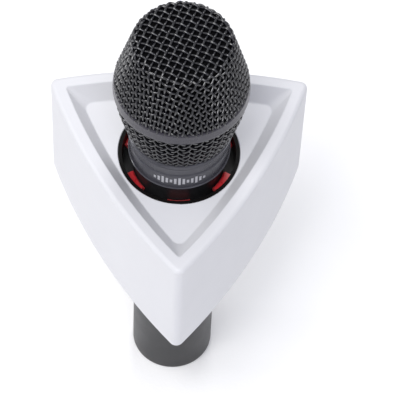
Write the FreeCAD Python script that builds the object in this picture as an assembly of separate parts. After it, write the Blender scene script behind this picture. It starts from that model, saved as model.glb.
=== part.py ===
import FreeCAD, Part
import math
import os

# Handheld wireless microphone wearing a triangular flag. Millimetres, +Z up the microphone's axis.
# The origin is the centre of the tail face, and one corner of the flag points to the front, -Y.

# ---- driving dimensions: flag ----
flag_side = 103.0             # straight distance between two sharp corners
flag_bow = 5.5                # how far each side bulges past that straight line
flag_height = 58.0
flag_top_z = 154.0
flag_wall = 2.0
flag_corner_radius = 3.0
flag_top_edge_radius = 1.8
rim_width = 5.1               # flat rim round the recess in the top
recess_depth = 6.0
recess_slope_width = 5.1
recess_rim_corner_radius = 1.5
recess_floor_corner_radius = 4.5   # the recess's corners open out towards its floor
rim_edge_radius = 0.8
floor_edge_radius = 1.0
hole_edge_radius = 0.4
flag_hole_radius = 23.9
cover_thickness = 2.5
cover_lift = 0.3              # the cover sits this far inside the walls
cover_gap = 0.15
post_radius = 3.2
post_distance = 52.0          # corner posts, from the microphone's axis
screw_shank_radius = 1.05
screw_head_radius = 2.4
screw_head_height = 1.4
screw_length = 12.0
screw_slot_length = 4.0
screw_slot_width = 0.6
screw_clearance = 0.2
cover_corner_radius = 1.0
hub_depth = 6.0               # ring under the recess floor that turns on the adaptor

# ---- driving dimensions: adaptor ----
sleeve_outer_radius = 25.4
sleeve_inner_radius = 22.4
running_gap = 0.05
loose_gap = 0.3
finger_count = 6
finger_width = 8.8
finger_tip_radius = 18.35
finger_pivot_radius = 22.9
finger_pivot_z = 141.0
finger_bead_radius = 1.0
finger_neck_thickness = 1.0
finger_slot_gap = 0.35        # above and below the neck
finger_pad_thickness = 2.4
finger_pad_length = 3.3
finger_chamfer = 0.7
neck_overlap = 1.0            # the neck runs this far into the pad

# ---- driving dimensions: microphone ----
handle_radius = 17.2
handle_shoulder_radius = 17.8
handle_bore_radius = 15.4
handle_bottom_z = 46.0
handle_top_z = 151.5
neck_radius = 15.8
neck_bore_radius = 14.9
neck_bottom_z = 40.0
cup_radius = 16.95
cup_bore_radius = 15.3
cup_mouth_radius = 16.1
tail_cap_thickness = 2.0
board_front_y = -7.6
board_back_y = -6.0
board_floor_z = 59.4
board_top_z = 134.0
ledge_top_z = 136.0
board_thickness = 1.6
pin_radius = 0.7
contact_distances = (2.8, 5.6, 8.4)
pin_standing_height = 0.9     # pins start this far above the ledge
button_z = 65.0
button_radius = 3.6
button_face_inset = 0.5
button_back_y = -12.6
button_flange_height = 1.0
button_flange_thickness = 1.6
switch_face_y = -11.1
switch_half_width = 3.0
plunger_radius = 1.7
plunger_reach = 0.6
plunger_well_depth = 1.6
led_z = 73.0
led_length = 2.4
led_width = 1.6
led_height = 1.0
light_pipe_radius = 1.0
board_half_width = 11.5
board_gap = 0.2               # round the head contact board
shield_half_width = 8.0
shield_low_z = 92.0
shield_high_z = 120.0
shield_height = 3.2
shoulder_low_z = 118.0        # the handle widens between these two heights
shoulder_high_z = 128.0
ledge_bore_radius = 13.0
handle_edge = 0.4
handle_top_chamfer = 1.0
thin_wall_low_z = 58.0        # the handle's bore is wider above this

# ---- driving dimensions: head and grille ----
collar_bottom_z = 151.9
collar_top_z = 168.8
collar_lip_radius = 20.0      # a narrow lip round the collar's lower edge
collar_lip_height = 0.8
collar_low_radius = 19.7
collar_step_z = 160.6
collar_waist_radius = 19.35
collar_waist_z = 161.0
collar_high_radius = 19.75
collar_high_z = 165.4
collar_groove_radius = 19.35
collar_groove_low_z = 165.8
collar_groove_high_z = 166.2
collar_ring_low_z = 166.5
collar_ring_radius = 20.5
collar_ring_edge = 0.4
head_neck_radius = 16.6
head_bore_radius = 13.2
head_skirt_radius = 15.0
head_skirt_bottom_z = 141.0
head_skirt_wall = 2.4
head_skirt_bore_top_z = 146.0
head_neck_top_z = 176.0
ring_height = 0.4
ring_half_width = 0.6
head_wire_radius = 0.6
head_wire_spacing = 6.0
shock_mount_bore_radius = 8.0
shock_mount_radius = 16.2
shock_mount_bottom_z = 170.0
capsule_bottom_z = 178.0
capsule_top_z = 203.0
capsule_radius = 12.0
capsule_floor_thickness = 1.5
capsule_wall = 1.0
magnet_radius = 8.5
magnet_height = 12.5
pole_radius = 5.5
pole_height = 4.0
diaphragm_depth = 5.4         # its surround sits this far under the capsule's top
diaphragm_ball_radius = 12.0
diaphragm_ball_depth = 14.0
diaphragm_dome_radius = 8.0
diaphragm_film = 0.2
surround_bore_radius = 7.4
surround_thickness = 0.3
screen_thickness = 1.6
screen_hole_radius = 1.5
screen_hole_distance = 6.5
screen_outer_holes = 8
mesh_thickness = 1.2
lower_mesh_bottom_z = 169.1
lower_mesh_bottom_radius = 20.4
lower_mesh_top_radius = 25.6
lower_mesh_bulge = 0.6
band_bottom_z = 192.9
band_top_z = 197.8
band_low_radius = 26.0
band_high_radius = 25.5
band_bore_radius = 24.2
band_low_edge_z = 193.4
band_waist_z = 194.1
band_edge = 0.5
band_lip_radius = 25.65
band_lip_inset = 0.2
base_ring_gap = 0.35
base_ring_top_z = 174.0
cap_height = 26.0             # the upper mesh stands this far above the band
cap_lean_deg = 14.9           # its side is a cone that leans in by this much
cap_crown_radius = 270.0      # its top is very slightly domed
cap_shoulder_radius = 3.0
cap_inner_shoulder_radius = 0.8
foam_gap = 0.2
foam_thickness = 3.0
foam_bottom_z = 177.0

# ---- driving dimensions: batteries ----
battery_radius = 7.25
battery_length = 50.5
nub_length = 1.0
nub_radius = 2.7
battery_spacing = 14.7
contact_floor_z = 4.8
contact_ceiling_z = 57.9
contact_plate_radius = 5.0
contact_plate_thickness = 0.4
spring_wide_radius = 4.5
spring_narrow_radius = 2.5
spring_wall = 0.8
cradle_plate_thickness = 1.4
cradle_gap = 0.1
cradle_rib_half_width = 5.0
cradle_rib_inner_y = 8.0
cradle_rib_outer_y = 12.0
antenna_half_width = 1.5
antenna_thickness = 0.5
antenna_low_z = 6.0
cup_end_gap = 0.3
tail_edge = 0.6
tail_plug_height = 1.0

ORIGIN = FreeCAD.Vector(0, 0, 0)
X_AXIS = FreeCAD.Vector(1, 0, 0)
Y_AXIS = FreeCAD.Vector(0, 1, 0)
Z_AXIS = FreeCAD.Vector(0, 0, 1)
MILLIMETRE_SLACK = 0.01
ANGLE_SLACK = 0.1


# ---- shape helpers ----
def save(name, shape):
    shape.exportStep("parts/" + name + ".step")
    print(f"{name:26s} solids {len(shape.Solids)}  volume {shape.Volume:9.1f}  valid {shape.isValid()}")


def group(solids):
    return Part.makeCompound(solids)


def turned(outline):
    """Solid of revolution about Z from a closed outline of (radius, height) points."""
    corners = [FreeCAD.Vector(radius, 0, height) for radius, height in outline]
    face = Part.Face(Part.makePolygon(corners + [corners[0]]))
    return face.revolve(ORIGIN, Z_AXIS, 360)


def disc(radius, low_z, high_z, x=0.0, y=0.0):
    return Part.makeCylinder(radius, high_z - low_z, FreeCAD.Vector(x, y, low_z))


def tube(outer_radius, inner_radius, low_z, high_z):
    return disc(outer_radius, low_z, high_z).cut(disc(inner_radius, low_z, high_z))


def rod_along_y(radius, low_y, high_y, z):
    return Part.makeCylinder(radius, high_y - low_y, FreeCAD.Vector(0, low_y, z), Y_AXIS)


def block(low, high):
    size = [top - bottom for bottom, top in zip(low, high)]
    return Part.makeBox(size[0], size[1], size[2], FreeCAD.Vector(*low))


def placed_at_angle(shape, degrees):
    """A copy of a shape drawn on the front side, -Y, turned about the microphone's axis."""
    copy = shape.copy()
    copy.rotate(ORIGIN, Z_AXIS, degrees)
    return copy


def edges_on_level(shape, z):
    return [edge for edge in shape.Edges
            if abs(edge.BoundBox.ZMin - z) < MILLIMETRE_SLACK
            and abs(edge.BoundBox.ZMax - z) < MILLIMETRE_SLACK]


def corner_edge(prism, height, turn):
    """The full-height edge at the front corner, -Y, turned about the axis."""
    for edge in prism.Edges:
        if edge.BoundBox.ZLength > height - MILLIMETRE_SLACK:
            middle = edge.Vertexes[0].Point.add(edge.Vertexes[1].Point).multiply(0.5)
            from_corner = math.degrees(math.atan2(middle.x, -middle.y)) - turn
            if abs((from_corner + 180) % 360 - 180) < ANGLE_SLACK:
                return edge
    raise ValueError("no corner edge found")


# ---- flag ----
side_radius = (flag_side ** 2 / 4 + flag_bow ** 2) / (2 * flag_bow)
side_middle = flag_side / (2 * math.sqrt(3)) + flag_bow
flag_bottom_z = flag_top_z - flag_height
floor_z = flag_top_z - recess_depth
floor_underside_z = floor_z - flag_wall
under_rim_z = flag_top_z - flag_wall
cover_bottom_z = flag_bottom_z + cover_lift
cover_top_z = cover_bottom_z + cover_thickness
corner_turns = [0, 120, 240]


def side_centres(z):
    """Centres of the three large circles that the flag's bowed sides lie on."""
    offset = side_middle - side_radius
    angles = [math.radians(degrees) for degrees in (90, 210, 330)]
    return [FreeCAD.Vector(offset * math.cos(angle), offset * math.sin(angle), z) for angle in angles]


def bowed_triangle(low_z, high_z, low_inset, high_inset, low_corner_radius, high_corner_radius):
    """Three-sided prism with bowed sides, each set in from the flag's outer side."""
    prism = None
    for centre in side_centres(low_z):
        if low_inset == high_inset:
            wedge = Part.makeCylinder(side_radius - low_inset, high_z - low_z, centre)
        else:
            wedge = Part.makeCone(side_radius - low_inset, side_radius - high_inset, high_z - low_z, centre)
        prism = wedge if prism is None else prism.common(wedge)
    for turn in corner_turns:
        corner = corner_edge(prism, high_z - low_z, turn)
        rises = corner.Vertexes[0].Z < corner.Vertexes[1].Z
        if rises:
            prism = prism.makeFillet(low_corner_radius, high_corner_radius, [corner])
        else:
            prism = prism.makeFillet(high_corner_radius, low_corner_radius, [corner])
    return prism


def recess_pocket():
    pocket = bowed_triangle(floor_z, flag_top_z, rim_width + recess_slope_width, rim_width,
                            recess_floor_corner_radius, recess_rim_corner_radius)
    return pocket.makeFillet(floor_edge_radius, edges_on_level(pocket, floor_z))


def flag_hollow():
    """The space inside the flag, with a constant wall under the rim, slope and floor."""
    inner_radius = flag_corner_radius - flag_wall
    space = bowed_triangle(flag_bottom_z, under_rim_z, flag_wall, flag_wall, inner_radius, inner_radius)
    slope = recess_slope_width / recess_depth
    slope_inset = rim_width - flag_wall * math.hypot(1, slope) + flag_wall * slope
    deep_inset = slope_inset + slope * (under_rim_z - floor_underside_z)
    skin = bowed_triangle(floor_underside_z, under_rim_z, deep_inset, slope_inset,
                          recess_floor_corner_radius, recess_rim_corner_radius)
    return space.cut(skin)


def rim_edges(shell):
    """Edges between the flat rim and the recess's slope, and not those along the outer edge."""
    edges = []
    for edge in edges_on_level(shell, flag_top_z):
        middle = edge.valueAt((edge.FirstParameter + edge.LastParameter) / 2)
        reach = max(middle.sub(centre).Length for centre in side_centres(flag_top_z))
        if side_radius - reach > rim_width - MILLIMETRE_SLACK:
            edges.append(edge)
    return edges


def corner_posts():
    """Posts for the cover's screws, up to the underside of the recess."""
    pilot_top = cover_bottom_z + screw_length + 1.0
    post = disc(post_radius, cover_top_z, under_rim_z, 0, -post_distance)
    post = post.cut(disc(screw_shank_radius, cover_top_z, pilot_top, 0, -post_distance))
    return group([placed_at_angle(post, turn) for turn in corner_turns])


def flag_shell():
    shell = bowed_triangle(flag_bottom_z, flag_top_z, 0.0, 0.0, flag_corner_radius, flag_corner_radius)
    shell = shell.makeFillet(flag_top_edge_radius, edges_on_level(shell, flag_top_z))
    shell = shell.cut(flag_hollow()).fuse(corner_posts()).cut(recess_pocket())
    shell = shell.makeFillet(rim_edge_radius, rim_edges(shell))
    hub_bore = sleeve_outer_radius + running_gap
    hub_bottom_z = floor_underside_z - hub_depth
    shell = shell.fuse(tube(hub_bore + flag_wall, hub_bore, hub_bottom_z, floor_underside_z))
    shell = shell.cut(disc(flag_hole_radius, floor_underside_z, floor_z)).removeSplitter()
    hole_edges = [edge for edge in edges_on_level(shell, floor_z)
                  if abs(edge.BoundBox.XLength - 2 * flag_hole_radius) < MILLIMETRE_SLACK]
    return shell.makeFillet(hole_edge_radius, hole_edges)


def flag_bottom_cover():
    inset = flag_wall + cover_gap
    cover = bowed_triangle(cover_bottom_z, cover_top_z, inset, inset,
                           cover_corner_radius, cover_corner_radius)
    cover = cover.cut(disc(flag_hole_radius, cover_bottom_z, cover_top_z))
    head_top_z = cover_bottom_z + screw_head_height
    sink = disc(screw_head_radius + screw_clearance, cover_bottom_z, head_top_z, 0, -post_distance)
    hole = disc(screw_shank_radius + screw_clearance, cover_bottom_z, cover_top_z, 0, -post_distance)
    for turn in corner_turns:
        cover = cover.cut(placed_at_angle(sink.fuse(hole), turn))
    return cover


def flag_cover_screws():
    head_top_z = cover_bottom_z + screw_head_height
    head = disc(screw_head_radius, cover_bottom_z, head_top_z, 0, -post_distance)
    shank = disc(screw_shank_radius, head_top_z, cover_bottom_z + screw_length, 0, -post_distance)
    slot_top_z = cover_bottom_z + screw_slot_width
    slot = block((-screw_slot_length / 2, -post_distance - screw_slot_width / 2, cover_bottom_z),
                 (screw_slot_length / 2, -post_distance + screw_slot_width / 2, slot_top_z))
    screw = head.fuse(shank).cut(slot)
    return group([placed_at_angle(screw, turn) for turn in corner_turns])


# ---- adaptor ----
finger_turns = [360 / finger_count * number for number in range(finger_count)]


def finger_bead(radius, width):
    """Straight round bead along X at the finger's root on the front side."""
    start = FreeCAD.Vector(-width / 2, -finger_pivot_radius, finger_pivot_z)
    return Part.makeCylinder(radius, width, start, X_AXIS)


def grip_finger():
    """Rubber finger on the front side: a pad with a chamfered nose, a thin neck and a root bead."""
    half_width = finger_width / 2
    half_pad = finger_pad_thickness / 2
    half_neck = finger_neck_thickness / 2
    low_z = finger_pivot_z - half_pad
    high_z = finger_pivot_z + half_pad
    pad_end = finger_tip_radius + finger_pad_length
    ring = turned([
        (finger_tip_radius, low_z + finger_chamfer), (finger_tip_radius + finger_chamfer, low_z),
        (pad_end, low_z), (pad_end, high_z),
        (finger_tip_radius + finger_chamfer, high_z), (finger_tip_radius, high_z - finger_chamfer),
    ])
    width_limit = block((-half_width, -sleeve_outer_radius, low_z), (half_width, 0, high_z))
    neck = block((-half_width, -finger_pivot_radius, finger_pivot_z - half_neck),
                 (half_width, neck_overlap - pad_end, finger_pivot_z + half_neck))
    return ring.common(width_limit).fuse(neck).fuse(finger_bead(finger_bead_radius, finger_width))


def adaptor_sleeve():
    top_z = floor_underside_z - loose_gap
    shoulder_z = cover_top_z + loose_gap
    sleeve = tube(sleeve_outer_radius, sleeve_inner_radius, shoulder_z, top_z)
    guide_radius = flag_hole_radius - running_gap
    sleeve = sleeve.fuse(tube(guide_radius, sleeve_inner_radius, cover_bottom_z, shoulder_z))
    sleeve = sleeve.fuse(tube(guide_radius, sleeve_inner_radius, top_z, floor_z - hole_edge_radius))
    slot_width = finger_width + 2 * loose_gap
    groove = finger_bead(finger_bead_radius + running_gap, slot_width)
    half_slot = finger_neck_thickness / 2 + finger_slot_gap
    slot = block((-slot_width / 2, -finger_pivot_radius, finger_pivot_z - half_slot),
                 (slot_width / 2, -finger_tip_radius, finger_pivot_z + half_slot))
    seat = groove.fuse(slot)
    for turn in finger_turns:
        sleeve = sleeve.cut(placed_at_angle(seat, turn))
    return sleeve.removeSplitter()


# ---- microphone handle ----
def contact_pins(radius, low_z, high_z):
    return [disc(radius, low_z, high_z, 0, distance) for distance in contact_distances]


def contact_spring_pins():
    low_z = ledge_top_z + pin_standing_height
    return group(contact_pins(pin_radius, low_z, head_skirt_bottom_z - loose_gap))


def head_contact_board():
    board = disc(handle_bore_radius - board_gap, ledge_top_z, ledge_top_z + board_thickness)
    holes = contact_pins(pin_radius + running_gap, ledge_top_z, ledge_top_z + board_thickness)
    return board.cut(group(holes))


def handle_housing():
    body = turned([
        (neck_bore_radius, neck_bottom_z), (neck_radius, neck_bottom_z), (neck_radius, handle_bottom_z),
        (handle_radius - handle_edge, handle_bottom_z), (handle_radius, handle_bottom_z + handle_edge),
        (handle_radius, shoulder_low_z), (handle_shoulder_radius, shoulder_high_z),
        (handle_shoulder_radius, handle_top_z - handle_top_chamfer),
        (handle_shoulder_radius - handle_top_chamfer, handle_top_z), (handle_bore_radius, handle_top_z),
        (handle_bore_radius, ledge_top_z), (ledge_bore_radius, ledge_top_z),
        (ledge_bore_radius, board_top_z), (handle_bore_radius, board_top_z),
        (handle_bore_radius, thin_wall_low_z), (neck_bore_radius, thin_wall_low_z),
    ])
    outside_y = -handle_radius - 1.0
    inside_y = -ledge_bore_radius
    button_hole = rod_along_y(button_radius + loose_gap, outside_y, inside_y, button_z)
    light_hole = rod_along_y(light_pipe_radius, outside_y, inside_y, led_z)
    return body.cut(button_hole).cut(light_hole)


def main_circuit_board():
    return block((-board_half_width, board_front_y, board_floor_z),
                 (board_half_width, board_back_y, board_top_z))


def rf_shield_can():
    return block((-shield_half_width, board_back_y, shield_low_z),
                 (shield_half_width, board_back_y + shield_height, shield_high_z))


def power_button():
    flange_y = button_back_y - button_flange_thickness
    cap = rod_along_y(button_radius, -handle_radius + button_face_inset, flange_y, button_z)
    flange = rod_along_y(button_radius + button_flange_height, flange_y, button_back_y, button_z)
    return cap.fuse(flange)


def tact_switch():
    case = block((-switch_half_width, switch_face_y, button_z - switch_half_width),
                 (switch_half_width, board_front_y, button_z + switch_half_width))
    well_floor_y = switch_face_y + plunger_well_depth
    well = rod_along_y(plunger_radius + running_gap, switch_face_y, well_floor_y, button_z)
    return case.cut(well)


def switch_plunger():
    return rod_along_y(plunger_radius, button_back_y, switch_face_y + plunger_reach, button_z)


def status_led():
    return block((-led_length / 2, board_front_y - led_height, led_z - led_width / 2),
                 (led_length / 2, board_front_y, led_z + led_width / 2))


def led_light_pipe():
    return rod_along_y(light_pipe_radius, -handle_radius, board_front_y - led_height, led_z)


# ---- batteries and cup ----
def battery_cradle():
    plate_radius = neck_bore_radius - cradle_gap
    cradle = disc(plate_radius, contact_floor_z - cradle_plate_thickness, contact_floor_z)
    cradle = cradle.fuse(disc(plate_radius, contact_ceiling_z, board_floor_z))
    front_rib = block((-cradle_rib_half_width, -cradle_rib_outer_y, contact_floor_z),
                      (cradle_rib_half_width, -cradle_rib_inner_y, contact_ceiling_z))
    back_rib = block((-cradle_rib_half_width, cradle_rib_inner_y, contact_floor_z),
                     (cradle_rib_half_width, cradle_rib_outer_y, contact_ceiling_z))
    return cradle.fuse(front_rib).fuse(back_rib).removeSplitter()


def battery(x, nub_up):
    """One AA cell. Its flat end rests on a sprung contact and its nub on a plate."""
    if nub_up:
        low_z = contact_ceiling_z - contact_plate_thickness - battery_length
        can = disc(battery_radius, low_z, low_z + battery_length - nub_length, x)
        return can.fuse(disc(nub_radius, low_z + battery_length - nub_length, low_z + battery_length, x))
    low_z = contact_floor_z + contact_plate_thickness
    can = disc(battery_radius, low_z + nub_length, low_z + battery_length, x)
    return can.fuse(disc(nub_radius, low_z, low_z + nub_length, x))


def battery_spring(x, low_z, foot, tip):
    """Cone shell that stands in for a coil spring."""
    height = contact_ceiling_z - contact_floor_z - battery_length - contact_plate_thickness
    base = FreeCAD.Vector(x, 0, low_z)
    outside = Part.makeCone(foot, tip, height, base)
    return outside.cut(Part.makeCone(foot - spring_wall, tip - spring_wall, height, base))


def battery_springs():
    half = battery_spacing / 2
    height = contact_ceiling_z - contact_floor_z - battery_length - contact_plate_thickness
    low = battery_spring(-half, contact_floor_z, spring_wide_radius, spring_narrow_radius)
    high = battery_spring(half, contact_ceiling_z - height, spring_narrow_radius, spring_wide_radius)
    return group([low, high])


def battery_contact_plates():
    half = battery_spacing / 2
    low = disc(contact_plate_radius, contact_floor_z, contact_floor_z + contact_plate_thickness, half)
    high = disc(contact_plate_radius, contact_ceiling_z - contact_plate_thickness, contact_ceiling_z, -half)
    return group([low, high])


def antenna_strip():
    return block((-antenna_half_width, cradle_rib_outer_y, antenna_low_z),
                 (antenna_half_width, cradle_rib_outer_y + antenna_thickness, contact_ceiling_z))


def battery_cup():
    mouth_floor_z = neck_bottom_z - cup_end_gap
    rim_z = handle_bottom_z - cup_end_gap
    return turned([
        (cup_bore_radius, tail_cap_thickness), (cup_radius, tail_cap_thickness), (cup_radius, rim_z),
        (cup_mouth_radius, rim_z), (cup_mouth_radius, mouth_floor_z), (cup_bore_radius, mouth_floor_z),
    ])


def tail_cap():
    plug_top_z = tail_cap_thickness + tail_plug_height
    return turned([
        (0, 0), (cup_radius - tail_edge, 0), (cup_radius, tail_edge), (cup_radius, tail_cap_thickness),
        (cup_bore_radius, tail_cap_thickness), (cup_bore_radius, plug_top_z), (0, plug_top_z),
    ])


# ---- head ----
def head_collar():
    skirt_bore = head_skirt_radius - head_skirt_wall
    lip_top_z = collar_bottom_z + collar_lip_height
    lip_edge = collar_lip_radius - collar_low_radius
    ring_face_radius = collar_ring_radius - collar_ring_edge
    return turned([
        (skirt_bore, head_skirt_bottom_z), (head_skirt_radius, head_skirt_bottom_z),
        (head_skirt_radius, collar_bottom_z), (collar_low_radius, collar_bottom_z),
        (collar_lip_radius, collar_bottom_z + lip_edge), (collar_lip_radius, lip_top_z - lip_edge),
        (collar_low_radius, lip_top_z), (collar_low_radius, collar_step_z),
        (collar_waist_radius, collar_waist_z), (collar_high_radius, collar_high_z),
        (collar_groove_radius, collar_groove_low_z), (collar_groove_radius, collar_groove_high_z),
        (ring_face_radius, collar_ring_low_z), (collar_ring_radius, collar_ring_low_z + collar_ring_edge),
        (collar_ring_radius, collar_top_z - collar_ring_edge), (ring_face_radius, collar_top_z),
        (head_neck_radius, collar_top_z), (head_neck_radius, head_neck_top_z),
        (head_bore_radius, head_neck_top_z), (head_bore_radius, head_skirt_bore_top_z),
        (skirt_bore, head_skirt_bore_top_z),
    ])


def head_contact_rings():
    top_z = head_skirt_bottom_z + ring_height
    return group([tube(distance + ring_half_width, distance - ring_half_width, head_skirt_bottom_z, top_z)
                  for distance in contact_distances])


def head_contact_disc():
    low_z = head_skirt_bottom_z + ring_height
    return disc(head_skirt_radius - head_skirt_wall - cradle_gap, low_z, low_z + board_thickness)


def head_wires():
    low_z = head_skirt_bottom_z + ring_height + board_thickness
    half = head_wire_spacing / 2
    return group([disc(head_wire_radius, low_z, capsule_bottom_z, x) for x in (-half, half)])


def capsule_shock_mount():
    return turned([
        (shock_mount_bore_radius, shock_mount_bottom_z), (head_bore_radius, shock_mount_bottom_z),
        (head_bore_radius, head_neck_top_z), (shock_mount_radius, head_neck_top_z),
        (shock_mount_radius, capsule_bottom_z), (shock_mount_bore_radius, capsule_bottom_z),
    ])


def capsule_housing():
    floor_top_z = capsule_bottom_z + capsule_floor_thickness
    floor = disc(capsule_radius, capsule_bottom_z, floor_top_z)
    return floor.fuse(tube(capsule_radius, capsule_radius - capsule_wall, floor_top_z, capsule_top_z))


def capsule_magnet():
    low_z = capsule_bottom_z + capsule_floor_thickness
    pole_low_z = low_z + magnet_height
    magnet = disc(magnet_radius, low_z, pole_low_z)
    return magnet.fuse(disc(pole_radius, pole_low_z, pole_low_z + pole_height))


def capsule_diaphragm():
    """Thin dome with a flat surround."""
    centre = FreeCAD.Vector(0, 0, capsule_top_z - diaphragm_ball_depth)
    surround_z = capsule_top_z - diaphragm_depth
    ball = Part.makeSphere(diaphragm_ball_radius, centre)
    dome = ball.cut(Part.makeSphere(diaphragm_ball_radius - diaphragm_film, centre))
    dome = dome.common(disc(diaphragm_dome_radius, surround_z - 1.0, capsule_top_z))
    surround = tube(capsule_radius - capsule_wall, surround_bore_radius,
                    surround_z, surround_z + surround_thickness)
    return dome.fuse(surround).removeSplitter()


def capsule_front_screen():
    top_z = capsule_top_z + screen_thickness
    holes = [disc(screen_hole_radius, capsule_top_z, top_z)]
    for number in range(screen_outer_holes):
        angle = 2 * math.pi * number / screen_outer_holes
        holes.append(disc(screen_hole_radius, capsule_top_z, top_z,
                          screen_hole_distance * math.cos(angle), screen_hole_distance * math.sin(angle)))
    return disc(capsule_radius, capsule_top_z, top_z).cut(group(holes))


# ---- grille ----
def grille_base_ring():
    return tube(lower_mesh_bottom_radius - mesh_thickness, head_neck_radius + base_ring_gap,
                lower_mesh_bottom_z, base_ring_top_z)


def lower_mesh_core(inset):
    """Solid inside the bowl-shaped lower mesh, set in from its outer face."""
    low_radius = lower_mesh_bottom_radius - inset
    high_radius = lower_mesh_top_radius - inset
    middle_radius = (low_radius + high_radius) / 2 + lower_mesh_bulge
    middle_z = (lower_mesh_bottom_z + band_bottom_z) / 2
    low = FreeCAD.Vector(low_radius, 0, lower_mesh_bottom_z)
    high = FreeCAD.Vector(high_radius, 0, band_bottom_z)
    low_axis = FreeCAD.Vector(0, 0, lower_mesh_bottom_z)
    high_axis = FreeCAD.Vector(0, 0, band_bottom_z)
    bulge = Part.Arc(low, FreeCAD.Vector(middle_radius, 0, middle_z), high).toShape()
    edges = [Part.makeLine(low_axis, low), bulge,
             Part.makeLine(high, high_axis), Part.makeLine(high_axis, low_axis)]
    return Part.Face(Part.Wire(edges)).revolve(ORIGIN, Z_AXIS, 360)


def cap_core(inset):
    """Solid under the upper mesh, set in from its outer face: leaning cone, shoulder, shallow crown."""
    lean = math.radians(cap_lean_deg)
    inward = FreeCAD.Vector(-math.cos(lean), 0, -math.sin(lean))
    upward = FreeCAD.Vector(-math.sin(lean), 0, math.cos(lean))
    shoulder = max(cap_shoulder_radius - inset, cap_inner_shoulder_radius)
    crown = cap_crown_radius - inset
    crown_centre = FreeCAD.Vector(0, 0, band_top_z + cap_height - cap_crown_radius)
    base = FreeCAD.Vector(0, 0, band_top_z)
    foot = FreeCAD.Vector(band_high_radius - inset / math.cos(lean), 0, band_top_z)
    # the shoulder touches the cone's line and lies inside the crown's arc
    offset = foot + inward * shoulder - crown_centre
    reach = crown - shoulder
    along = offset.dot(upward)
    cone_length = math.sqrt(along ** 2 - offset.dot(offset) + reach ** 2) - along
    shoulder_centre = crown_centre + offset + upward * cone_length
    crown_way = (shoulder_centre - crown_centre) * (1 / reach)
    middle_way = (crown_way - inward).normalize()
    half_angle = math.asin(crown_way.x) / 2
    crown_middle = crown_centre + FreeCAD.Vector(math.sin(half_angle), 0, math.cos(half_angle)) * crown
    crown_edge = crown_centre + crown_way * crown
    top = crown_centre + Z_AXIS * crown
    cone_top = foot + upward * cone_length
    edges = [Part.makeLine(base, foot), Part.makeLine(foot, cone_top),
             Part.Arc(cone_top, shoulder_centre + middle_way * shoulder, crown_edge).toShape(),
             Part.Arc(crown_edge, crown_middle, top).toShape(), Part.makeLine(top, base)]
    return Part.Face(Part.Wire(edges)).revolve(ORIGIN, Z_AXIS, 360)


def grille_band():
    return turned([
        (band_bore_radius, band_bottom_z), (band_low_radius - band_edge, band_bottom_z),
        (band_low_radius, band_low_edge_z), (band_low_radius, band_waist_z),
        (band_lip_radius, band_top_z - band_edge), (band_high_radius - band_lip_inset, band_top_z),
        (band_bore_radius, band_top_z),
    ])


def windscreen_foam():
    """Foam liner that follows the inside of both meshes and the band."""
    def filled(inset):
        band_radius = band_bore_radius - (inset - mesh_thickness)
        low = lower_mesh_core(inset)
        return low.fuse(disc(band_radius, band_bottom_z, band_top_z)).fuse(cap_core(inset))
    outer = filled(mesh_thickness + foam_gap)
    inner = filled(mesh_thickness + foam_gap + foam_thickness)
    skirt = disc(band_low_radius, lower_mesh_bottom_z, foam_bottom_z)
    return outer.cut(inner).cut(skirt)


# ---- build every piece ----
def main():
    os.makedirs("parts", exist_ok=True)

    save("flag_shell", flag_shell())
    save("flag_bottom_cover", flag_bottom_cover())
    save("flag_cover_screws", flag_cover_screws())

    save("adaptor_sleeve", adaptor_sleeve())
    finger = grip_finger()
    for number, turn in enumerate(finger_turns, start=1):
        save(f"grip_finger_{number}", placed_at_angle(finger, turn))

    save("handle_housing", handle_housing())
    save("head_contact_board", head_contact_board())
    save("contact_spring_pins", contact_spring_pins())
    save("main_circuit_board", main_circuit_board())
    save("rf_shield_can", rf_shield_can())
    save("tact_switch", tact_switch())
    save("switch_plunger", switch_plunger())
    save("status_led", status_led())
    save("led_light_pipe", led_light_pipe())
    save("power_button", power_button())

    save("battery_cradle", battery_cradle())
    save("battery_1", battery(-battery_spacing / 2, nub_up=True))
    save("battery_2", battery(battery_spacing / 2, nub_up=False))
    save("battery_springs", battery_springs())
    save("battery_contact_plates", battery_contact_plates())
    save("antenna_strip", antenna_strip())
    save("battery_cup", battery_cup())
    save("tail_cap", tail_cap())

    save("head_collar", head_collar())
    save("head_contact_disc", head_contact_disc())
    save("head_contact_rings", head_contact_rings())
    save("head_wires", head_wires())
    save("capsule_shock_mount", capsule_shock_mount())
    save("capsule_housing", capsule_housing())
    save("capsule_magnet", capsule_magnet())
    save("capsule_diaphragm", capsule_diaphragm())
    save("capsule_front_screen", capsule_front_screen())

    save("grille_base_ring", grille_base_ring())
    save("grille_lower_mesh", lower_mesh_core(0.0).cut(lower_mesh_core(mesh_thickness)))
    save("grille_band", grille_band())
    save("grille_upper_mesh", cap_core(0.0).cut(cap_core(mesh_thickness)))
    save("windscreen_foam", windscreen_foam())


main()
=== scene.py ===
import bpy
import math
import numpy as np
from mathutils import Matrix, Vector


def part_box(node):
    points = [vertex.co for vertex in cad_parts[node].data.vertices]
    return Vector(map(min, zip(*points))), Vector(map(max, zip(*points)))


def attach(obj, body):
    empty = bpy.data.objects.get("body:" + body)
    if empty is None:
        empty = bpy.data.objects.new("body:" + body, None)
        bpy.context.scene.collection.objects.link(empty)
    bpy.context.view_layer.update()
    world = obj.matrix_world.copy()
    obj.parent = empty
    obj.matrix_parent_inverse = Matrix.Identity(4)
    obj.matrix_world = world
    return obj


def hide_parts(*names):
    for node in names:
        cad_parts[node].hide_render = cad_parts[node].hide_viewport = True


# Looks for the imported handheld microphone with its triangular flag.
# Metres, +Z up the microphone's axis, one corner of the flag towards the front, -Y.

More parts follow.
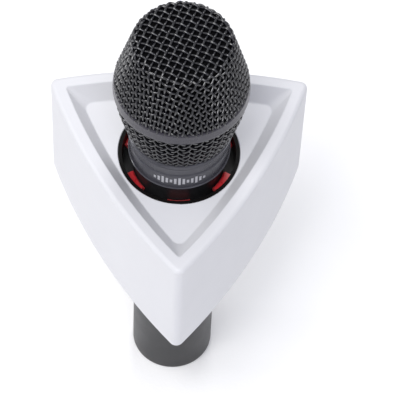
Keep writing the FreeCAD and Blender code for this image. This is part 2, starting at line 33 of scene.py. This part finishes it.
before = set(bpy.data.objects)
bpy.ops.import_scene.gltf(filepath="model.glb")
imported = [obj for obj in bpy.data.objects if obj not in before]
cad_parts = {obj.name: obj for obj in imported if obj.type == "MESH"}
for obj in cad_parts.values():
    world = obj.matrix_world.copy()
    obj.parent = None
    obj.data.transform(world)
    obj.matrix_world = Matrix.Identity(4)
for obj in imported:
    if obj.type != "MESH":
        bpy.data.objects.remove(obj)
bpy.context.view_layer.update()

MM = 0.001

# ---- driving dimensions, in millimetres unless the name says otherwise ----
weave_pitch = 2.706           # from wire to wire
weave_wire_radius = 0.52
weave_crimp = 0.34            # how far a wire rises and falls as it goes over and under
weave_u_degrees = 66.4        # direction of one set of wires on the flat top; the other set is square to it
weave_origin = (-2.97, 2.48)  # one crossing, off the top's centre
weave_steps_per_pitch = 6
lower_wire_radius = 0.42
lower_crimp = 0.33
lower_wire_count = 34         # wires in each direction round the lower mesh
lower_steps = 90              # points along each lower wire
lower_bulge = 0.6             # how far the lower mesh bows out half way up
cap_lean_degrees = 14.9       # how far the upper mesh's side leans inwards
cap_crown_radius = 270.0      # of the arc across the top
cap_shoulder_radius = 3.0     # of the bend from the top to the side
wire_tuck = 0.4               # the upper wires run this far on under the band
lower_tuck = 0.1              # the lower wires start this far above the base ring
lower_overrun = 0.6           # and run this far on under the band
shortest_wire = 2.0           # wires that would be shorter than this, laid flat, are left out
mesh_thickness = 1.2
foam_gap = 0.2                # between a mesh and the foam
foam_thickness = 3.0
foam_cap_steps = 60
foam_bowl_steps = 30
foam_turn_steps = 120
foam_axis_radius = 0.02       # the foam's middle is left open by this much
wire_sides = 6

mark_heights = (1.6, 2.8, 4.4, 3.2, 2.0, 3.8, 4.8, 3.8, 2.0, 3.2, 4.4, 2.8, 1.6)
mark_bar_width = 0.95
mark_bar_pitch = 1.65
mark_middle_z = 157.4
collar_low_radius = 19.7
mark_lift = 0.04              # above the collar's paint
mark_bar_columns = 4          # points across each bar, so that it follows the collar

jacket_band_low = 44.0        # where the batteries' copper band starts, above the microphone's tail face
jacket_band_blend = 0.1
floor_half_width = 4000.0

# ---- camera and light, in metres and degrees ----
camera_location = (-0.01818, -0.55379, 1.01335)
camera_aim = (0.00851, -0.01426, 0.1352)
camera_roll_degrees = 3.05
camera_lens_mm = 236.48
camera_sensor_mm = 36.0
light_aim = (0.0, 0.0, 0.15)
light_distance = 1.5
sky_strength = 0.52
sky_color = (0.95, 0.955, 1.0)
front = -math.pi / 2          # the azimuth that faces the front, -Y


# ---- small mesh helpers ----
def mesh_piece(name, points, faces, material, smooth=True):
    """A mesh object from points in millimetres."""
    mesh = bpy.data.meshes.new(name)
    mesh.from_pydata([tuple(point) for point in np.asarray(points) * MM], [], faces)
    mesh.update()
    mesh.polygons.foreach_set("use_smooth", [smooth] * len(mesh.polygons))
    mesh.materials.append(material)
    piece = bpy.data.objects.new(name, mesh)
    bpy.context.scene.collection.objects.link(piece)
    return piece


def revolved(name, outline, material, steps):
    """A closed ring solid from a closed outline of (radius, height) points."""
    outline = np.asarray(outline, float)
    angles = np.linspace(0, 2 * math.pi, steps, endpoint=False)
    count = len(outline)
    points = np.stack([
        np.outer(np.cos(angles), outline[:, 0]),
        np.outer(np.sin(angles), outline[:, 0]),
        np.tile(outline[:, 1], (steps, 1)),
    ], axis=-1).reshape(-1, 3)
    faces = []
    for step in range(steps):
        here = step * count
        after = (step + 1) % steps * count
        for k in range(count):
            following = (k + 1) % count
            faces.append((here + k, after + k, after + following, here + following))
    return mesh_piece(name, points, faces, material)


def wire_tube(path, outward, radius):
    """Points and faces of a round wire with closed ends; outward is the surface's normal at each point."""
    along = np.gradient(path, axis=0)
    along /= np.linalg.norm(along, axis=1)[:, None]
    side = np.cross(along, outward)
    side /= np.linalg.norm(side, axis=1)[:, None]
    over = np.cross(side, along)
    turn = np.linspace(0, 2 * math.pi, wire_sides, endpoint=False)
    rings = (path[:, None, :]
             + radius * np.cos(turn)[None, :, None] * over[:, None, :]
             + radius * np.sin(turn)[None, :, None] * side[:, None, :])
    faces = []
    for ring in range(len(path) - 1):
        here = ring * wire_sides
        after = here + wire_sides
        for k in range(wire_sides):
            following = (k + 1) % wire_sides
            faces.append((here + k, here + following, after + following, after + k))
    last = (len(path) - 1) * wire_sides
    faces.append(tuple(reversed(range(wire_sides))))
    faces.append(tuple(last + k for k in range(wire_sides)))
    return rings.reshape(-1, 3), faces


def joined(parts):
    """One set of points and faces from many."""
    points = []
    faces = []
    offset = 0
    for part_points, part_faces in parts:
        points.append(part_points)
        faces += [tuple(index + offset for index in face) for face in part_faces]
        offset += len(part_points)
    return np.concatenate(points), faces


# ---- material helpers ----
def start_material(name, color, roughness, metallic=0.0, coat=0.0, sheen=0.0, shine=0.5):
    material = bpy.data.materials.new(name)
    material.use_nodes = True
    tree = material.node_tree
    shader = tree.nodes["Principled BSDF"]
    shader.inputs["Base Color"].default_value = (*color, 1.0)
    shader.inputs["Roughness"].default_value = roughness
    shader.inputs["Metallic"].default_value = metallic
    shader.inputs["Specular IOR Level"].default_value = shine
    shader.inputs["Coat Weight"].default_value = coat
    shader.inputs["Coat Roughness"].default_value = 0.1
    shader.inputs["Sheen Weight"].default_value = sheen
    return material, tree, shader


def node(tree, kind, **settings):
    made = tree.nodes.new(kind)
    for key, value in settings.items():
        setattr(made, key, value)
    return made


def place(tree):
    """Position on the object, which moves with the piece."""
    return node(tree, "ShaderNodeTexCoord").outputs["Object"]


def noise(tree, size_mm, detail=2.0, coordinates=None):
    made = node(tree, "ShaderNodeTexNoise")
    made.inputs["Scale"].default_value = 1.0 / (size_mm * MM)
    made.inputs["Detail"].default_value = detail
    tree.links.new(coordinates or place(tree), made.inputs["Vector"])
    return made.outputs["Fac"]


def cells(tree, size_mm):
    made = node(tree, "ShaderNodeTexVoronoi")
    made.inputs["Scale"].default_value = 1.0 / (size_mm * MM)
    tree.links.new(place(tree), made.inputs["Vector"])
    return made.outputs["Distance"]


def ranged(tree, value, from_low, from_high, to_low, to_high):
    made = node(tree, "ShaderNodeMapRange")
    made.inputs["From Min"].default_value = from_low
    made.inputs["From Max"].default_value = from_high
    made.inputs["To Min"].default_value = to_low
    made.inputs["To Max"].default_value = to_high
    tree.links.new(value, made.inputs["Value"])
    return made.outputs["Result"]


def mixed(tree, share, first, second):
    """A colour between two, by a varying share."""
    made = node(tree, "ShaderNodeMix", data_type="RGBA")
    tree.links.new(share, made.inputs["Factor"])
    for socket in made.inputs:
        if socket.type == "RGBA" and socket.name == "A":
            socket.default_value = (*first, 1.0)
        if socket.type == "RGBA" and socket.name == "B":
            socket.default_value = (*second, 1.0)
    return next(socket for socket in made.outputs if socket.type == "RGBA")


def bumped(tree, shader, height, depth_mm):
    made = node(tree, "ShaderNodeBump")
    made.inputs["Strength"].default_value = 1.0
    made.inputs["Distance"].default_value = depth_mm * MM
    tree.links.new(height, made.inputs["Height"])
    tree.links.new(made.outputs["Normal"], shader.inputs["Normal"])


def vary_roughness(tree, shader, size_mm, low, high):
    smudge = noise(tree, size_mm, detail=4.0)
    tree.links.new(ranged(tree, smudge, 0.3, 0.7, low, high), shader.inputs["Roughness"])


def vary_color(tree, shader, size_mm, first, second):
    patch = ranged(tree, noise(tree, size_mm, detail=3.0), 0.3, 0.7, 0.0, 1.0)
    tree.links.new(mixed(tree, patch, first, second), shader.inputs["Base Color"])


def scaled(color, factor):
    return tuple(min(1.0, channel * factor) for channel in color)


# ---- materials ----
def moulded_plastic(name, color, roughness, grain_mm, grain_depth, spread=0.06, shine=0.5):
    """Injection-moulded plastic: fine surface grain, faint smudges, faint change of tone."""
    material, tree, shader = start_material(name, color, roughness, shine=shine)
    vary_color(tree, shader, 14.0, scaled(color, 1 - spread), scaled(color, 1 + spread))
    vary_roughness(tree, shader, 9.0, roughness * 0.93, roughness * 1.08)
    bumped(tree, shader, noise(tree, grain_mm), grain_depth)
    return material


def sprayed_enamel(name, color, roughness, fleck_mm, fleck_depth, shine=0.5):
    """Baked enamel or powder coat on metal, with its orange-peel skin."""
    material, tree, shader = start_material(name, color, roughness, shine=shine)
    vary_color(tree, shader, 3.0, scaled(color, 0.92), scaled(color, 1.08))
    vary_roughness(tree, shader, 4.0, roughness * 0.9, roughness * 1.12)
    bumped(tree, shader, noise(tree, fleck_mm), fleck_depth)
    return material


def bare_metal(name, color, roughness):
    """Plated or turned metal with fine scratches that run round the axis."""
    material, tree, shader = start_material(name, color, roughness, metallic=1.0)
    stretch = node(tree, "ShaderNodeMapping")
    stretch.inputs["Scale"].default_value = (0.2, 0.2, 6.0)
    tree.links.new(place(tree), stretch.inputs["Vector"])
    scratches = noise(tree, 0.8, detail=5.0, coordinates=stretch.outputs["Vector"])
    tree.links.new(ranged(tree, scratches, 0.3, 0.7, roughness * 0.7, roughness * 1.5),
                   shader.inputs["Roughness"])
    vary_color(tree, shader, 5.0, scaled(color, 0.9), scaled(color, 1.06))
    bumped(tree, shader, scratches, 0.01)
    return material


def soft_rubber(name, color, roughness):
    material, tree, shader = start_material(name, color, roughness, sheen=0.05)
    vary_color(tree, shader, 4.0, scaled(color, 0.85), scaled(color, 1.12))
    vary_roughness(tree, shader, 2.0, roughness * 0.8, roughness * 1.2)
    bumped(tree, shader, noise(tree, 0.3), 0.02)
    return material


def open_cell_foam(name, color):
    material, tree, shader = start_material(name, color, 0.95, shine=0.1)
    pores = cells(tree, 0.55)
    wall_share = ranged(tree, pores, 0.1, 0.6, 0.0, 1.0)
    # Painted shade: the middle of each pore is darker than the walls round it, standing in for the shade
    # inside the pore.
    painted_pore_shade = mixed(tree, wall_share, scaled(color, 0.4), scaled(color, 1.5))
    tree.links.new(painted_pore_shade, shader.inputs["Base Color"])
    bumped(tree, shader, pores, 0.25)
    return material


def circuit_board(name, color):
    """Solder mask over copper tracks: the tracks show as a lighter, slightly raised pattern."""
    material, tree, shader = start_material(name, color, 0.3, coat=0.4)
    tracks = node(tree, "ShaderNodeTexBrick")
    tracks.inputs["Scale"].default_value = 1.0 / (4.0 * MM)
    tracks.inputs["Mortar Size"].default_value = 0.06
    tracks.inputs["Mortar Smooth"].default_value = 0.2
    turned = node(tree, "ShaderNodeMapping")
    turned.inputs["Rotation"].default_value = (math.radians(90), 0, math.radians(45))
    tree.links.new(place(tree), turned.inputs["Vector"])
    tree.links.new(turned.outputs["Vector"], tracks.inputs["Vector"])
    track_color = mixed(tree, tracks.outputs["Fac"], color, scaled(color, 2.2))
    tree.links.new(track_color, shader.inputs["Base Color"])
    vary_roughness(tree, shader, 5.0, 0.22, 0.4)
    bumped(tree, shader, tracks.outputs["Fac"], 0.03)
    return material


def battery_jacket(name):
    """Plain printed sleeve: dark body with a copper-toned band at its upper end, and no lettering."""
    dark = (0.025, 0.027, 0.03)
    copper = (0.42, 0.17, 0.06)
    material, tree, shader = start_material(name, dark, 0.25, coat=0.5)
    height = node(tree, "ShaderNodeSeparateXYZ")
    tree.links.new(place(tree), height.inputs["Vector"])
    band_low = jacket_band_low * MM
    band_full = band_low + jacket_band_blend * MM
    band = ranged(tree, height.outputs["Z"], band_low, band_full, 0.0, 1.0)
    tree.links.new(mixed(tree, band, dark, copper), shader.inputs["Base Color"])
    vary_roughness(tree, shader, 5.0, 0.2, 0.35)
    bumped(tree, shader, noise(tree, 1.5), 0.01)
    return material


def thin_film(name):
    """Metallised plastic film with the ripples a diaphragm is pressed with."""
    gold = (0.62, 0.5, 0.25)
    material, tree, shader = start_material(name, gold, 0.2, metallic=0.8)
    ripples = node(tree, "ShaderNodeTexWave", wave_type="RINGS", rings_direction="Z")
    ripples.inputs["Scale"].default_value = 1.0 / (6.0 * MM)
    tree.links.new(place(tree), ripples.inputs["Vector"])
    tree.links.new(ranged(tree, ripples.outputs["Fac"], 0.0, 1.0, 0.15, 0.3), shader.inputs["Roughness"])
    vary_color(tree, shader, 4.0, scaled(gold, 0.9), scaled(gold, 1.1))
    bumped(tree, shader, ripples.outputs["Fac"], 0.05)
    return material


def clear_lens(name):
    """Frosted green lens of the light pipe."""
    green = (0.25, 0.75, 0.35)
    material, tree, shader = start_material(name, green, 0.25)
    shader.inputs["Transmission Weight"].default_value = 0.6
    vary_color(tree, shader, 0.8, scaled(green, 0.85), scaled(green, 1.15))
    vary_roughness(tree, shader, 0.6, 0.2, 0.4)
    bumped(tree, shader, noise(tree, 0.2), 0.01)
    return material


def pale_paint(name, color):
    material, tree, shader = start_material(name, color, 0.45)
    vary_color(tree, shader, 1.2, scaled(color, 0.9), color)
    vary_roughness(tree, shader, 0.8, 0.35, 0.6)
    bumped(tree, shader, noise(tree, 0.15), 0.01)
    return material


def make_materials():
    """One finished material for each slot of the record."""
    return {
        "flag_white": moulded_plastic("look_flag_white", (0.658, 0.661, 0.69), 0.38, 0.9, 0.0015,
                                      spread=0.006, shine=0.3),
        "adaptor_black": moulded_plastic("look_adaptor_black", (0.004, 0.0035, 0.0035), 0.5, 0.35, 0.01,
                                         shine=0.08),
        "finger_red": soft_rubber("look_finger_red", (0.62, 0.022, 0.03), 0.32),
        "handle_coating": sprayed_enamel("look_handle_coating", (0.014, 0.014, 0.016), 0.5, 0.45, 0.05),
        "cup_plastic": moulded_plastic("look_cup_plastic", (0.014, 0.014, 0.016), 0.42, 0.3, 0.03),
        "cap_plastic": moulded_plastic("look_cap_plastic", (0.02, 0.02, 0.023), 0.35, 0.5, 0.02),
        "button_grey": soft_rubber("look_button_grey", (0.16, 0.16, 0.17), 0.5),
        "light_pipe": clear_lens("look_light_pipe"),
        "circuit_green": circuit_board("look_circuit_green", (0.01, 0.09, 0.035)),
        "tinned_steel": bare_metal("look_tinned_steel", (0.68, 0.68, 0.69), 0.28),
        "switch_black": moulded_plastic("look_switch_black", (0.02, 0.02, 0.02), 0.4, 0.25, 0.02),
        "gold_contact": bare_metal("look_gold_contact", (0.83, 0.6, 0.25), 0.22),
        "battery_jacket": battery_jacket("look_battery_jacket"),
        "cradle_black": moulded_plastic("look_cradle_black", (0.018, 0.018, 0.02), 0.5, 0.4, 0.02),
        "collar_enamel": sprayed_enamel("look_collar_enamel", (0.05, 0.05, 0.061), 0.22, 0.5, 0.002),
        "grille_enamel": sprayed_enamel("look_grille_enamel", (0.005, 0.005, 0.008), 0.15, 0.4, 0.001,
                                        shine=1.0),
        "band_enamel": sprayed_enamel("look_band_enamel", (0.036, 0.034, 0.045), 0.27, 0.5, 0.001),
        "foam_black": open_cell_foam("look_foam_black", (0.0015, 0.0015, 0.002)),
        "mount_rubber": soft_rubber("look_mount_rubber", (0.02, 0.02, 0.02), 0.7),
        "capsule_metal": bare_metal("look_capsule_metal", (0.45, 0.45, 0.46), 0.35),
        "magnet_steel": bare_metal("look_magnet_steel", (0.33, 0.33, 0.35), 0.3),
        "diaphragm_film": thin_film("look_diaphragm_film"),
        "wire_insulation": soft_rubber("look_wire_insulation", (0.5, 0.03, 0.02), 0.4),
        "screw_steel": bare_metal("look_screw_steel", (0.55, 0.55, 0.57), 0.3),
    }


# ---- grille shapes, read from the CAD frame ----
class Cap:
    """Outer face of the upper mesh, by arc length from the top.

    It is a shallow crown, then a shoulder, then a leaning side.
    """

    def __init__(self):
        low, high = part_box("grille_upper_mesh")
        lean = math.radians(cap_lean_degrees)
        inward = np.array([-math.cos(lean), -math.sin(lean)])
        upward = np.array([-math.sin(lean), math.cos(lean)])
        foot = np.array([high.x / MM, low.z / MM])
        self.crown_centre = np.array([0.0, high.z / MM - cap_crown_radius])
        # the shoulder touches the side's line and lies inside the crown's arc
        offset = foot + inward * cap_shoulder_radius - self.crown_centre
        reach = cap_crown_radius - cap_shoulder_radius
        along = offset @ upward
        side_length = math.sqrt(along ** 2 - offset @ offset + reach ** 2) - along
        self.shoulder_centre = self.crown_centre + offset + upward * side_length
        self.side_top = foot + upward * side_length
        self.side_down = -upward
        self.crown_angle = math.asin(self.shoulder_centre[0] / reach)
        self.crown_arc = cap_crown_radius * self.crown_angle
        self.shoulder_arc = cap_shoulder_radius * (math.pi / 2 - lean - self.crown_angle)
        self.full_arc = self.crown_arc + self.shoulder_arc + side_length

    def section(self, arc):
        """Radius, height and the outward direction's two parts, at an arc length from the top."""
        past_crown = np.maximum(arc - self.crown_arc, 0.0)
        past_shoulder = np.maximum(past_crown - self.shoulder_arc, 0.0)
        turn = np.minimum(past_crown, self.shoulder_arc) / cap_shoulder_radius
        angle = np.minimum(arc, self.crown_arc) / cap_crown_radius + turn
        on_crown = past_crown <= 0
        out_r = np.sin(angle)
        out_z = np.cos(angle)
        centre_r = np.where(on_crown, self.crown_centre[0], self.shoulder_centre[0])
        centre_z = np.where(on_crown, self.crown_centre[1], self.shoulder_centre[1])
        size = np.where(on_crown, cap_crown_radius, cap_shoulder_radius)
        radius = centre_r + size * out_r + past_shoulder * self.side_down[0]
        height = centre_z + size * out_z + past_shoulder * self.side_down[1]
        return radius, height, out_r, out_z

    def surface(self, arc, azimuth, depth):
        """Points at a depth under the outer face, and outward directions."""
        radius, height, out_r, out_z = self.section(arc)
        outward = np.stack([out_r * np.cos(azimuth), out_r * np.sin(azimuth), out_z], axis=-1)
        points = np.stack([radius * np.cos(azimuth), radius * np.sin(azimuth), height], axis=-1)
        return points - depth[:, None] * outward, outward


class Bowl:
    """Outer face of the lower mesh, a shallow arc, by height."""

    def __init__(self):
        low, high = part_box("grille_lower_mesh")
        ring_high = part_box("grille_base_ring")[1]
        self.low_z = low.z / MM
        self.high_z = high.z / MM
        self.low_radius = ring_high.x / MM + mesh_thickness
        self.high_radius = high.x / MM

    def radius(self, z):
        share = (z - self.low_z) / (self.high_z - self.low_z)
        straight = self.low_radius + share * (self.high_radius - self.low_radius)
        return straight + 4 * lower_bulge * share * (1 - share)

    def path(self, steps):
        """Radius, height, outward parts and the turn in radians of a 45 degree wire, up the bowl."""
        z = np.linspace(self.low_z + lower_tuck, self.high_z + lower_overrun, steps)
        radius = self.radius(z)
        slope = np.gradient(radius, z)
        length = np.sqrt(1 + slope ** 2)
        turn = np.concatenate([[0.0], np.cumsum((length / radius)[:-1] * np.diff(z))])
        return radius, z, 1 / length, -slope / length, turn


def upper_weave(cap, material):
    """Two sets of crimped wires, woven flat and folded down over the shoulder."""
    u = math.radians(weave_u_degrees)
    u_step = weave_pitch * np.array([math.cos(u), math.sin(u)])
    v_step = weave_pitch * np.array([math.sin(u), -math.cos(u)])
    origin = np.array(weave_origin)
    flat_edge = cap.full_arc + wire_tuck
    reach = int(flat_edge / weave_pitch) + 2
    parts = []
    for along, across, lift in ((u_step, v_step, -1.0), (v_step, u_step, 1.0)):
        for number in range(-reach, reach + 1):
            foot = origin + number * across
            # distance along the wire to the edge of the flat disc, both ways
            middle = -np.dot(foot, along) / np.dot(along, along)
            nearest = foot + middle * along
            spare = flat_edge ** 2 - np.dot(nearest, nearest)
            if spare < (shortest_wire / 2) ** 2:
                continue
            half = math.sqrt(spare) / weave_pitch
            count = max(8, int(2 * half * weave_steps_per_pitch))
            station = np.linspace(middle - half, middle + half, count)
            flat = foot[None, :] + station[:, None] * along[None, :]
            arc = np.linalg.norm(flat, axis=1)
            azimuth = np.arctan2(flat[:, 1], flat[:, 0])
            rise = lift * (-1) ** number * weave_crimp * np.cos(math.pi * station)
            path, outward = cap.surface(arc, azimuth, mesh_thickness / 2 - rise)
            parts.append(wire_tube(path, outward, weave_wire_radius))
    points, faces = joined(parts)
    return mesh_piece("grille_upper_weave", points, faces, material)


def lower_weave(bowl, material):
    """Crimped wires in two slanting directions round the lower mesh."""
    radius, z, out_r, out_z, turn = bowl.path(lower_steps)
    parts = []
    crossings = turn * lower_wire_count / math.pi
    for direction in (1.0, -1.0):
        for number in range(lower_wire_count):
            azimuth = 2 * math.pi * number / lower_wire_count + direction * turn
            rise = direction * lower_crimp * np.cos(math.pi * crossings)
            outward = np.stack([out_r * np.cos(azimuth), out_r * np.sin(azimuth), out_z], axis=-1)
            points = np.stack([radius * np.cos(azimuth), radius * np.sin(azimuth), z], axis=-1)
            points = points - (mesh_thickness / 2 - rise)[:, None] * outward
            parts.append(wire_tube(points, outward, lower_wire_radius))
    points, faces = joined(parts)
    return mesh_piece("grille_lower_weave", points, faces, material)


def foam_liner(cap, bowl, material):
    """Soft liner that follows the inside of the grille, with a slightly uneven skin."""
    band_low_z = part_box("grille_band")[0].z / MM
    bottom_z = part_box("windscreen_foam")[0].z / MM

    def skin(inset):
        arcs = np.linspace(0.0, cap.full_arc, foam_cap_steps)
        cap_radius, cap_z, out_r, out_z = cap.section(arcs)
        inner_radius = np.maximum(cap_radius - inset * out_r, foam_axis_radius)
        upper = np.stack([inner_radius, cap_z - inset * out_z], axis=1)
        on_side = arcs > cap.crown_arc + cap.shoulder_arc
        inner_top = upper[on_side][0]
        # inside the shoulder the crown's line runs straight on to the side's line
        folded = (~on_side) & ((upper[:, 0] > inner_top[0]) | (upper[:, 1] < inner_top[1]))
        upper = upper[~folded]
        heights = np.linspace(band_low_z, bottom_z, foam_bowl_steps)
        lower = np.stack([bowl.radius(heights) - inset, heights], axis=1)
        return np.concatenate([upper, lower])

    outer = skin(mesh_thickness + foam_gap)
    inner = skin(mesh_thickness + foam_gap + foam_thickness)
    outline = np.concatenate([outer, inner[::-1]])
    return revolved("foam_liner", outline, material, foam_turn_steps)


# ---- a plain mark on the collar ----
def collar_mark(material):
    """A row of plain bars of different heights, like a sound level, on the collar's front."""
    radius = collar_low_radius + mark_lift
    parts = []
    for number, height in enumerate(mark_heights):
        centre = (number - (len(mark_heights) - 1) / 2) * mark_bar_pitch
        points = []
        for up in (-0.5, 0.5):
            for across in np.linspace(-0.5, 0.5, mark_bar_columns):
                azimuth = front + (centre + across * mark_bar_width) / radius
                points.append((radius * math.cos(azimuth), radius * math.sin(azimuth),
                               mark_middle_z + up * height))
        faces = []
        for k in range(mark_bar_columns - 1):
            above = k + mark_bar_columns
            faces.append((k, k + 1, above + 1, above))
        parts.append((np.array(points), faces))
    points, faces = joined(parts)
    return mesh_piece("collar_mark", points, faces, material, smooth=False)


# ---- camera, floor and light ----
def aimed(location, target, roll_degrees=0.0):
    """Rotation that looks from one place to another, in metres, turned about the line of sight."""
    back = (Vector(location) - Vector(target)).normalized()
    right = Vector((0, 0, 1)).cross(back).normalized()
    up = back.cross(right)
    roll = math.radians(roll_degrees)
    tilted_right = math.cos(roll) * right + math.sin(roll) * up
    tilted_up = math.cos(roll) * up - math.sin(roll) * right
    return Matrix((tilted_right, tilted_up, back)).transposed().to_euler()


def add_camera():
    data = bpy.data.cameras.new("photo_camera")
    data.sensor_width = camera_sensor_mm
    data.lens = camera_lens_mm
    data.clip_start = 0.05
    data.clip_end = 20.0
    camera = bpy.data.objects.new("photo_camera", data)
    camera.location = camera_location
    camera.rotation_euler = aimed(camera_location, camera_aim, camera_roll_degrees)
    bpy.context.scene.collection.objects.link(camera)
    bpy.context.scene.camera = camera


def add_floor():
    material, tree, shader = start_material("look_floor", (0.96, 0.96, 0.96), 0.8)
    vary_color(tree, shader, 60.0, (0.95, 0.95, 0.955), (0.97, 0.97, 0.97))
    bumped(tree, shader, noise(tree, 2.0), 0.05)
    edge = floor_half_width
    points = [(-edge, -edge, 0), (edge, -edge, 0), (edge, edge, 0), (-edge, edge, 0)]
    floor = mesh_piece("studio_floor", points, [(0, 1, 2, 3)], material, smooth=False)


def add_area_light(name, azimuth_degrees, elevation_degrees, size, watts, color):
    """A square softbox that faces the object from a compass direction and a height angle."""
    azimuth = math.radians(azimuth_degrees)
    elevation = math.radians(elevation_degrees)
    level = light_distance * math.cos(elevation)
    location = (level * math.cos(azimuth), level * math.sin(azimuth),
                light_aim[2] + light_distance * math.sin(elevation))
    data = bpy.data.lights.new(name, "AREA")
    data.shape = "SQUARE"
    data.size = size
    data.energy = watts
    data.color = color
    light = bpy.data.objects.new(name, data)
    light.location = location
    light.rotation_euler = aimed(location, light_aim)
    bpy.context.scene.collection.objects.link(light)


def add_light():
    add_area_light("key_left", 230, 61, 0.7, 12.2, (1.0, 0.99, 0.97))
    add_area_light("back_left", 160, 30, 0.9, 2.8, (1.0, 0.99, 0.98))
    add_area_light("low_left", 175, 14, 0.12, 0.9, (1.0, 1.0, 1.0))
    add_area_light("front_right", 300, 38, 0.6, 1.2, (0.78, 0.8, 1.0))
    add_area_light("back_high", 80, 56, 0.45, 5.0, (1.0, 1.0, 1.0))
    add_area_light("front_top", 272, 66, 0.6, 5.0, (0.9, 0.92, 1.0))
    world = bpy.data.worlds.new("studio")
    world.use_nodes = True
    background = world.node_tree.nodes["Background"]
    background.inputs["Color"].default_value = (*sky_color, 1.0)
    background.inputs["Strength"].default_value = sky_strength
    bpy.context.scene.world = world
    bpy.context.scene.view_settings.view_transform = "Standard"


# ---- assembly ----
def dress_cad_nodes(looks):
    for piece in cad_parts.values():
        for number, packed in enumerate(piece.data.materials):
            piece.data.materials[number] = looks[packed.name]


def add_soft_and_woven_pieces(looks):
    cap = Cap()
    bowl = Bowl()
    upper = upper_weave(cap, looks["grille_enamel"])
    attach(upper, "grille")
    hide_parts("grille_upper_mesh")
    lower = lower_weave(bowl, looks["grille_enamel"])
    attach(lower, "grille")
    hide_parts("grille_lower_mesh")
    foam = foam_liner(cap, bowl, looks["foam_black"])
    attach(foam, "grille")
    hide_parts("windscreen_foam")


def add_collar_mark():
    mark = collar_mark(pale_paint("look_mark_paint", (0.5, 0.5, 0.53)))
    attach(mark, "head")


looks = make_materials()
dress_cad_nodes(looks)
add_soft_and_woven_pieces(looks)
add_collar_mark()
add_camera()
add_floor()
add_light()
